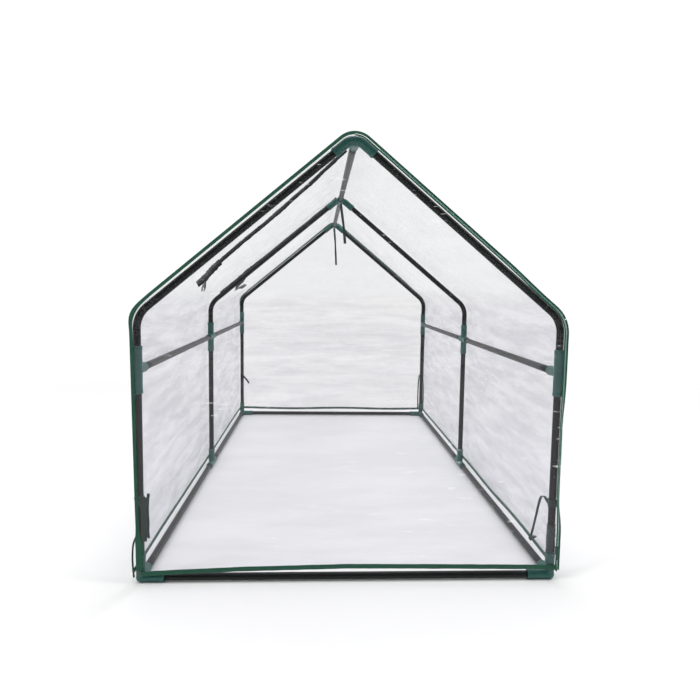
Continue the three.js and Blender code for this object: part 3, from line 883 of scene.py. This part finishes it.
left_roof, roof_rows = roof_sheet("left")
left_wall, wall_rows = wall_sheet("left")
cover = np.concatenate((left_roof, left_wall[1:]))
cover_rows = np.concatenate((roof_rows, ROOF_S + wall_rows[1:]))
left_films = ["left_roof_film", "left_wall_film"]
left_cover = sheet_piece(
    "left_cover_sheet", cover, SHEET_YS, cover_rows, FILM_SIDE, "frame_and_cover", left_films
)
right_roof, _ = roof_sheet("right")
roof_flap = sheet_piece(
    "right_roof_sheet", right_roof, SHEET_YS, roof_rows, FILM_SIDE, None, ["right_roof_flap"]
)
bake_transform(roof_flap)
right_wall, _ = wall_sheet("right")
wall_flap = sheet_piece(
    "right_wall_sheet", right_wall, SHEET_YS, wall_rows, FILM_SIDE, None, ["right_wall_flap"]
)
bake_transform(wall_flap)

FRONT_HEM_X = [-0.455, -0.40, -0.23, 0.0, 0.22, 0.45]
FRONT_HEM_Z = [0.0200, 0.0245, 0.0315, 0.0362, 0.0340, 0.0310]


def gable_hem(end_name, x):
    """Middle of a gable's hem above the ground."""
    if end_name == "front":
        return np.interp(x, FRONT_HEM_X, FRONT_HEM_Z)
    return 0.033 + 0.002 * np.sin(np.asarray(x) * 13 + 1)


def gable_top(x, off):
    """Height of a gable's rounded outline, off outwards from the tubes' centre lines."""
    x = np.abs(x)
    eave_x, ridge_r, eave_r = HALF - EAVE_BEND_R, ELBOW_R + off, EAVE_BEND_R + off
    ridge = ELBOW_Z + np.sqrt(np.maximum(ridge_r**2 - x**2, 0))
    eave = EAVE_BEND_Z + np.sqrt(np.maximum(eave_r**2 - (x - eave_x) ** 2, 0))
    top = np.where(x < ridge_r * SIN, ridge, APEX_Z + off / COS - TAN * x)
    return np.where(x > eave_x + eave_r * SIN, eave, top)


def gable_sheet(end_name):
    end = ENDS[end_name]
    left, right = BINDING_OUT - 0.001, ZIP_GABLE_EDGE - 0.0008
    xs = np.linspace(-(HALF + left), HALF + right, GABLE_ROWS)
    x, t = np.meshgrid(xs, np.linspace(0, 1, GABLE_ROWS))
    low = gable_hem(end_name, x) - HEM_LAP
    top = gable_top(x, np.where(x < 0, left, right))
    z = low + (top - low) * t
    creases = Creases(91 + end)
    full = (-HALF, HALF)
    if end_name == "rear":
        creases.scatter(30, full, (0.04, 0.42), 0.0, 0.16, (120, 400), (6, 14), (0.8, 2.4))
        creases.scatter(22, full, (0.04, 0.12), 0.0, 0.5, (30, 120), (4, 8), (1, 2.4))
    else:
        creases.scatter(14, full, (0.06, 0.60), 0.0, 0.5, (100, 300), (10, 22), (0.4, 1.2))
        creases.scatter(16, full, (0.04, 0.13), 0.0, 0.5, (20, 90), (4, 8), (0.6, 1.6))
    for corner in (-1, 1):
        near, far = (corner * HALF - 0.08, corner * HALF + 0.08), (corner * 0.2 - 0.2, corner * 0.2 + 0.2)
        lean, along = corner * 0.7, -corner * SLOPE
        creases.scatter(9, near, (0.05, 0.55), lean, 0.4, (30, 90), (5, 10), (0.5, 1.4))
        creases.scatter(6, far, (0.70, 0.90), along, 0.3, (40, 120), (5, 10), (0.5, 1.5))
    lift = creases.height(x, z) + GABLE_CRUMPLE[end_name] * fractal(x, z, 8, 30.0 + end)
    leg, rafter = HALF - np.abs(x), (APEX_Z - TAN * np.abs(x) - z) * COS
    lift *= smoothstep(leg, 0.005, 0.05) * smoothstep(z, 0.035, 0.07) * smoothstep(rafter, 0.005, 0.05)
    room = np.minimum(give(leg, COLLAR_R), give(rafter, COLLAR_R))
    lift = np.maximum(lift, -(room + GABLE_Y - abs(ARCH_Y[end_name]) - FILM_MID))
    x = x + leg_drift(z) * smoothstep(-x, HALF - 0.03, HALF + 0.012)
    return np.stack((x, end * (GABLE_Y + lift), z), axis=-1), xs, np.linspace(0, RIDGE_Z, GABLE_ROWS)


for end_name in ENDS:
    film, replaced = GABLE_FILM[end_name], [f"{end_name}_gable_film"]
    gable = sheet_piece(f"{end_name}_gable_sheet", *gable_sheet(end_name), film, "frame_and_cover", replaced)


# ---- bindings, zips and hems ----
class Trim:
    """A hoop's centre line down one side of a gable, with the way outwards at every step.

    drift moves what is sewn along it inwards by height, and twist turns it about its pivot."""

    def __init__(self, side, end, bottom, drift, twist=None, pivot=ZIP_IN):
        self.side, self.end, self.pivot = side, end, pivot
        rows = []
        for bend, *span in ((RIDGE_ARC, 0, SLOPE, 9), (EAVE_ARC, SLOPE, math.pi / 2, 13)):
            angles = np.linspace(*span)
            rows += [(x, z, math.sin(a), math.cos(a)) for (x, z), a in zip(arc(*bend, angles), angles)]
        rows = np.array([*rows, (HALF, bottom, 1, 0)])
        s = running(rows[:, :2])
        self.length = float(s[-1])
        self.eave = float(s[-2])
        self.s = np.linspace(0, self.length, 700)
        self.rows = np.column_stack([np.interp(self.s, s, rows[:, k]) for k in range(4)])
        z = self.rows[:, 1]
        self.drift = drift(z)
        self.twist = np.zeros_like(z) if twist is None else twist(z)

    def at(self, s, off, out):
        x, z, nx, nz = (float(np.interp(s, self.s, self.rows[:, k])) for k in range(4))
        turn = float(np.interp(s, self.s, self.twist))
        away = off - self.pivot
        reach = self.pivot + away * math.cos(turn) + out * math.sin(turn)
        reach -= float(np.interp(s, self.s, self.drift))
        y = TAPE_Y + out * math.cos(turn) - away * math.sin(turn)
        return self.side * (x + nx * reach), self.end * y, z + nz * reach

    def axes(self, s):
        """Along the trim, across it and out of it, at one place."""
        step, pivot = 0.001, self.pivot
        here, back, ahead, beside, over = (
            np.array(self.at(s + ds, pivot + away, out))
            for ds, away, out in ((0, 0, 0), (-step, 0, 0), (step, 0, 0), (0, step, 0), (0, 0, step))
        )
        return ahead - back, beside - here, over - here


STITCH = [(-0.00125, -0.0003), (-0.0008, 0.00018), (0.0, 0.0003), (0.0008, 0.00018), (0.00125, -0.0003)]
TOOTH = [(-0.0015, -0.0003), (-0.0009, 0.0009), (0.0, 0.0012), (0.00105, 0.0008), (0.0015, 0.0001)]
TOOTH_IN = 0.0007  # from a zip tape's edge in to the middle of its coil


def bead(shell, centre, way, out, profile, section, slot, scale=None):
    """A short thread or wire through the (along, out) places of a profile about a centre."""
    way, out = Vector(way).normalized(), Vector(out).normalized()
    path = [tuple(Vector(centre) + way * a + out * o) for a, o in profile]
    shell.add(*swept(path, section, tuple(out), scale), slot)


def stitch(shell, centre, along, out):
    bead(shell, centre, along, out, STITCH, ring(0.00032, 5), 1)


def tape_along(shell, trim, start, stop, off_in, off_out, seed, seams, width_at=None):
    """A sewn tape that follows a gable's outline, with its rows of stitches."""
    mid = (off_in + off_out) / 2
    section = soft_bar(off_out - off_in, TAPE, TAPE / 2, 3)
    lengths = np.linspace(start, stop, max(2, int((stop - start) / 0.004)))
    points = []
    for s in lengths:
        swell = 1 + 0.10 * noise.noise((s * 55, seed, 1))
        rock = 0.0002 * noise.noise((s * 40, seed, 5))
        wide = 1.0 if width_at is None else width_at(float(np.interp(s, trim.s, trim.rows[:, 1])))
        points.append([trim.at(s, mid + u * wide, v * swell + rock) for u, v in section])
    shell.add(*lattice(np.array(points), True, lengths, girth(section), True))
    for u in seams:
        for s in np.arange(start + STITCH_PITCH / 2, stop, STITCH_PITCH):
            way, _, out = trim.axes(s)
            stitch(shell, trim.at(s, mid + u, TAPE / 2), way, out)


def hem_strip(shell, path, out, seed, thick):
    """A hem: the film's edge turned up inside a folded tape, sewn along its upper edge."""
    path = np.array(path)
    scale = 1 + 0.05 * puckers(path, 30, seed, 2)
    shell.add(*swept(path, soft_bar(HEM_W, thick, thick * 0.4, 3), out, scale))
    out = np.array(out, float)
    t = tangents(path)
    across = np.cross(out, t)
    lengths = running(path)
    for s in np.arange(0.002, lengths[-1], STITCH_PITCH):
        at = np.array([np.interp(s, lengths, path[:, k]) for k in range(3)])
        k = min(int(np.searchsorted(lengths, s)), len(path) - 1)
        up = across[k] * (1 if across[k][2] > 0 else -1)
        stitch(shell, at + up * 0.003 + out * thick / 2, t[k], out)


def teeth(shell, trim, start, stop, off, towards, phase):
    """A zip's coil along a tape's edge: a bead across the edge for each turn."""
    for s in np.arange(start + phase * ZIP_PITCH, stop, ZIP_PITCH):
        _, across, out = trim.axes(s)
        at = trim.at(s, off, TAPE / 2)
        bead(shell, at, across * towards, out, TOOTH, ring(0.00075, 6), 2, (0.7, 1, 1.1, 1, 0.75))


def eave_peak(z):
    """1 where the film is drawn out to a corner over the eave bend, fading to 0 above and below."""
    return np.exp(-(((z - EAVE_BEND_Z - 0.026) / 0.016) ** 2))


def left_drift(z):
    return leg_drift(z) * (1 - 0.4 * eave_peak(z)) - 0.0004 * eave_peak(z)


def right_drift(z):
    """The right side's zip creeps in over the leg between the foot and the eave."""
    return 0.0032 * smoothstep(z, 0.12, 0.20) * (1 - smoothstep(z, 0.60, 0.68))


def left_width(z):
    """The left binding gathers, and so widens, at its foot and over the eave bend."""
    return 1 + 1.1 * float(1 - smoothstep(z, 0.085, 0.125)) + 0.35 * float(eave_peak(z))


def zip_twist(z):
    """The zip turns to face sideways along the middle of the leg."""
    return 0.70 * smoothstep(z, 0.10, 0.17) * (1 - smoothstep(z, 0.33, 0.46))


def sleeve(shell, x, y, z0, z1, radius, lump, seed):
    """Cloth wrapped round a leg, puckered."""
    rows, sides = 26, 36
    points = []
    for z in [z0 + (z1 - z0) * i / (rows - 1) for i in range(rows)]:
        row = []
        for c, d in ring(1, sides):
            coarse = noise.noise((c * 1.4, d * 1.4 + seed, z * 210))
            r = radius + lump * (coarse + 0.5 * noise.noise((c * 3, d * 3, z * 430 + seed)))
            row.append((x + c * r, y + d * r, z))
        points.append(row)
    around = np.linspace(0, 2 * math.pi * radius, sides + 1)
    shell.add(*lattice(np.array(points), True, np.linspace(0, z1 - z0, rows), around, True))


def strap(shell, knots, width, thick, out, seed):
    path = catmull(metres(knots), 40)
    scale = [1 + 0.10 * noise.noise((i * 0.35, seed, 1)) for i in range(len(path))]
    shell.add(*swept(path, soft_bar(width, thick, thick / 2, 3), out, scale))


for end_name, end in ENDS.items():
    left_trim = Trim(-1, end, TRIM_BOTTOM, left_drift, None, BINDING_IN)
    right_trim = Trim(1, end, TRIM_BOTTOM, right_drift, zip_twist)
    low_trim = Trim(1, end, HEM_LOW, right_drift, zip_twist)
    left_run, right_run = left_trim.length, right_trim.length
    binding = Shell()
    tape_along(binding, left_trim, 0, left_run, BINDING_IN, BINDING_OUT, 1.7, (-0.0022, 0.0022), left_width)
    tape_along(binding, right_trim, 0, ZIP_START + 0.003, BINDING_IN + 0.0016, BINDING_OUT, 5.2, (0.0010,))
    tape_along(binding, right_trim, 0, right_run, ZIP_IN, ZIP_GABLE_EDGE, 4.1, (-0.0006,))
    xs = np.linspace(-HALF + 0.002, HALF + ZIP_GABLE_EDGE, 170)
    zs = gable_hem(end_name, xs) + 0.0003 * waves(xs, 40, end, 8)
    hem_strip(binding, [(x, end * TAPE_Y, z) for x, z in zip(xs, zs)], (0, end, 0), 6.6, 0.0020)
    teeth(binding, right_trim, ZIP_START, right_run, ZIP_GABLE_EDGE + TOOTH_IN, 1, 0.0)
    cloths, replaced = [TAPE_CLOTH, THREAD, COIL], [f"{end_name}_gable_binding"]
    binding.piece(f"{end_name}_gable_tape", cloths, "binding", "frame_and_cover", replaced)
    fold = right_trim.eave - EAVE_BEND_R * EAVE_TURN / 2
    halves = {
        "roof": (right_trim, ZIP_START, fold - ZIP_RELIEF, 2.2),
        "wall": (low_trim, fold + ZIP_RELIEF, low_trim.length, 3.3),
    }
    for part, (trim, start, stop, seed) in halves.items():
        tape = Shell()
        tape_along(tape, trim, start, stop, ZIP_FLAP_EDGE, BINDING_OUT, seed, (0.0006,))
        teeth(tape, trim, start, stop, ZIP_FLAP_EDGE - TOOTH_IN, -1, 0.5)
        cloths, replaced = [ZIP_CLOTH, THREAD, COIL], [f"{end_name}_flap_{part}_zip_tape"]
        tape.piece(f"{end_name}_{part}_zip", cloths, "zip_tape", f"{part}_flap", replaced)

# Sleeves: side, foot, top, radius, lump and seed. Straps: knots in mm, width, thickness, face and seed.
FRONT_Y = ARCH_Y["front"]
CORNER_SLEEVES = [(-1, 0.168, 0.186, 0.0102, 0.0008, 3.0), (1, 0.163, 0.178, 0.0098, 0.0007, 8.0)]
LEFT_FOLDED = [(-436, -901.4, 188), (-432, -901.4, 165), (-431.5, -901.4, 130), (-432, -901.4, 92)]
LEFT_OUTER = [(-446, -903.5, 108), (-454, -902, 88), (-457.5, -899, 58), (-457.5, -897, 34), (-456, -897, 12)]
CORNER_STRAPS = [
    (LEFT_FOLDED, 0.0125, 0.0014, FORWARD, 4.0),
    (LEFT_OUTER, 0.005, 0.0036, (-1, 0, 0), 2.0),
    ([(434, -884, 178), (436, -884, 170), (439, -886, 158)], 0.006, 0.002, FORWARD, 6.0),
    ([(-438, 885, 196), (-428, 883, 186), (-416, 883, 172), (-408, 884, 158)], 0.008, 0.003, FORWARD, 9.0),
    ([(452, -770, 44), (448, -757, 40), (446, -748, 30)], 0.009, 0.0024, (0, -0.7, 0.7), 7.0),
    ([(-450, -901.7, 179), (-436, -901.7, 181), (-423, -901.7, 178)], 0.017, 0.0014, FORWARD, 11.0),
]
corners = Shell()
for side, *sizes in CORNER_SLEEVES:
    sleeve(corners, side * HALF, FRONT_Y, *sizes)
for strap_knots, *sizes in CORNER_STRAPS:
    strap(corners, strap_knots, *sizes)
corners.piece("corner_straps", [RIBBON_CLOTH], "tie_ribbon", "frame_and_cover")

# Where each loose end lies on the left roof, x and y in mm, and its width.
TIE_ENDS = [
    ([(-322, -622), (-346, -606), (-360, -594), (-376, -585)], 0.0140),
    ([(-336, -612), (-358, -560), (-374, -480), (-390, -410)], 0.0130),
    ([(-310, -640), (-330, -630), (-346, -614)], 0.0140),
    ([(-286, 18), (-320, 22), (-345, 14), (-372, 16), (-408, 2)], 0.0085),
    ([(-300, 30), (-318, 22), (-334, 40), (-346, 36)], 0.0150),
    ([(-70, -716), (-142, -685), (-204, -670), (-265, -664), (-300, -654), (-336, -624)], 0.0095),
    ([(-150, -672), (-204, -662), (-240, -670), (-275, -652), (-310, -646)], 0.0080),
    ([(-120, 30), (-180, 16), (-240, 30), (-300, 16)], 0.0090),
    ([(-286, 24), (-316, 80), (-350, 160), (-384, 240), (-396, 320), (-388, 400), (-372, 440)], 0.0130),
]
ends = Shell()
for number, (tie_places, width) in enumerate(TIE_ENDS):
    line = catmull(on_left_roof(tie_places, -0.0006), 60)
    ends.add(*strand(line, TIE_FACE, width, 20.0 + number, 0.001, 0.5, TIE_T, 0.14))
# The loose ends take the same darker tie cloth, which is painted shade.
ends.piece("roof_tie_ends", [ROOF_TIE_SHADED_CLOTH], "tie_ribbon", "frame_and_cover")
bag = Shell()
sleeve(bag, HALF, FRONT_Y, 0.0605, 0.122, 0.0097, 0.0011, 5.0)
bag.piece("front_right_leg_wrap", [WRAP_FILM], "binding", "frame_and_cover")

for (side_name, side), body in zip(SIDES.items(), ("frame_and_cover", "wall_flap")):
    hem = Shell()
    hem_y = np.linspace(-FILM_END, FILM_END, 300)
    hem_x = side * (EAVE_FOLD.x + 0.0006)
    line = [(hem_x, y, z) for y, z in zip(hem_y, hem_height(side_name, hem_y))]
    hem_strip(hem, line, (side, 0, 0), 8.8 + side, 0.0022)
    hem.piece(f"{side_name}_side_hem", [TAPE_CLOTH, THREAD], "binding", body)


# ---- the zip sliders ----
def soft_block(name, low, high, bevel, body, replaces=()):
    """A bevelled block of slider metal. Its outline is rounded in X and Z."""
    low, high = Vector(low), Vector(high)
    centre, size = (low + high) / 2, high - low
    outline = soft_bar(size.x, size.z, bevel * 2.2, 5)
    flat = 0.5 - bevel / size.y * 0.6
    rows = []
    for depth, inset in ((-0.5, bevel), (-flat, 0.0), (flat, 0.0), (0.5, bevel)):
        fx, fz = 1 - 2 * inset / size.x, 1 - 2 * inset / size.z
        rows.append([(centre.x + u * fx, centre.y + depth * size.y, centre.z + v * fz) for u, v in outline])
    shell = Shell()
    lengths = [0, 0.1 * size.y, 0.9 * size.y, size.y]
    shell.add(*lattice(np.array(rows), True, lengths, girth(outline), True))
    shell.piece(name, [SLIDER_PAINT], "zip_slider", body, replaces)


PULL_W, PULL_H, SLIDER_H = 0.006, 0.026, 0.018
for end_name, end in ENDS.items():
    node, body = f"{end_name}_zip_slider", f"{end_name}_slider"
    low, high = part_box(node)
    far = max(abs(low.y), abs(high.y))
    mid_x = (low.x + high.x) / 2
    y0, y1 = sorted((end * (TAPE_Y + TAPE / 2 + 0.0022), end * (far - 0.0010)))
    foot = (low.x, y0, SLIDER_TOP - SLIDER_H)
    soft_block(node + "_body", foot, (high.x, y1, SLIDER_TOP), 0.0008, body, [node])
    y0, y1 = sorted((end * (far - 0.0009), end * (far + 0.0004)))
    foot = (mid_x - PULL_W / 2, y0, low.z)
    soft_block(f"{end_name}_zip_pull", foot, (mid_x + PULL_W / 2, y1, low.z + PULL_H), 0.0005, body)


# ---- floor, world and lights ----
def floor_material():
    """Pale near the object, and as white as the world from a few metres on."""
    n = material("studio_floor")
    where = n.where()
    colour = n.mix(n.noise(1.3, where, 2), shade((0.88, 0.88, 0.885)), shade((0.90, 0.90, 0.90)))
    body = n.surface(colour, 0.6, n.bump(n.noise(90, where, 3), 0.001, 0.2))
    reach = n.add("ShaderNodeVectorMath", {0: where}, operation="LENGTH").outputs["Value"]
    return n.done(n.either(n.remap(reach, 1.1, 3.2, 0, 1), body, n.glow(WHITE)))


def add_floor():
    steps = np.linspace(-9.0, 9.0, 13)
    x, y = np.meshgrid(steps, steps)
    shell = Shell()
    shell.add(*lattice(np.stack((x, y, np.full_like(x, -0.0002)), axis=-1), False, steps, steps, False))
    shell.piece("studio_floor", [floor_material()])


def add_world():
    """White to the eye, and for the lighting bright above and behind and dim low in front."""
    n = Nodes(bpy.data.worlds.new("studio"), "ShaderNodeOutputWorld")
    way = n.add("ShaderNodeSeparateXYZ", {0: n.where("Generated")}).outputs
    height = n.math("ADD", n.math("MULTIPLY", way["Y"], 0.95), way["Z"])
    level = n.remap(height, -0.50, 0.90, 0.03, 1.05, interpolation_type="SMOOTHSTEP")
    seen = n.add("ShaderNodeLightPath").outputs["Is Camera Ray"]
    strength = n.add("ShaderNodeMix", {0: seen, 2: level, 3: WHITE}).outputs[0]
    light = n.add("ShaderNodeBackground", {"Color": PURE_WHITE, "Strength": strength}).outputs[0]
    bpy.context.scene.world = n.done(light)


def add_softbox(name, where, at, size, power):
    data = bpy.data.lights.new(name, "AREA")
    data.shape, data.size, data.size_y, data.energy = "RECTANGLE", *size, power
    light = bpy.data.objects.new(name, data)
    light.location = where
    light.rotation_euler = (Vector(at) - Vector(where)).to_track_quat("-Z", "Y").to_euler()
    bpy.context.scene.collection.objects.link(light)


add_floor()
add_world()
AIM = (0, 0, 0.4)
add_softbox("key_softbox", (-2.6, -2.4, 3.2), AIM, (0.9, 1.5), 50)
add_softbox("fill_softbox", (2.8, -1.4, 2.6), AIM, (0.6, 1.6), 28)
add_softbox("top_strip", (0.2, 0.6, 3.4), AIM, (0.4, 2.2), 26)
bpy.context.scene.view_settings.view_transform = "Standard"
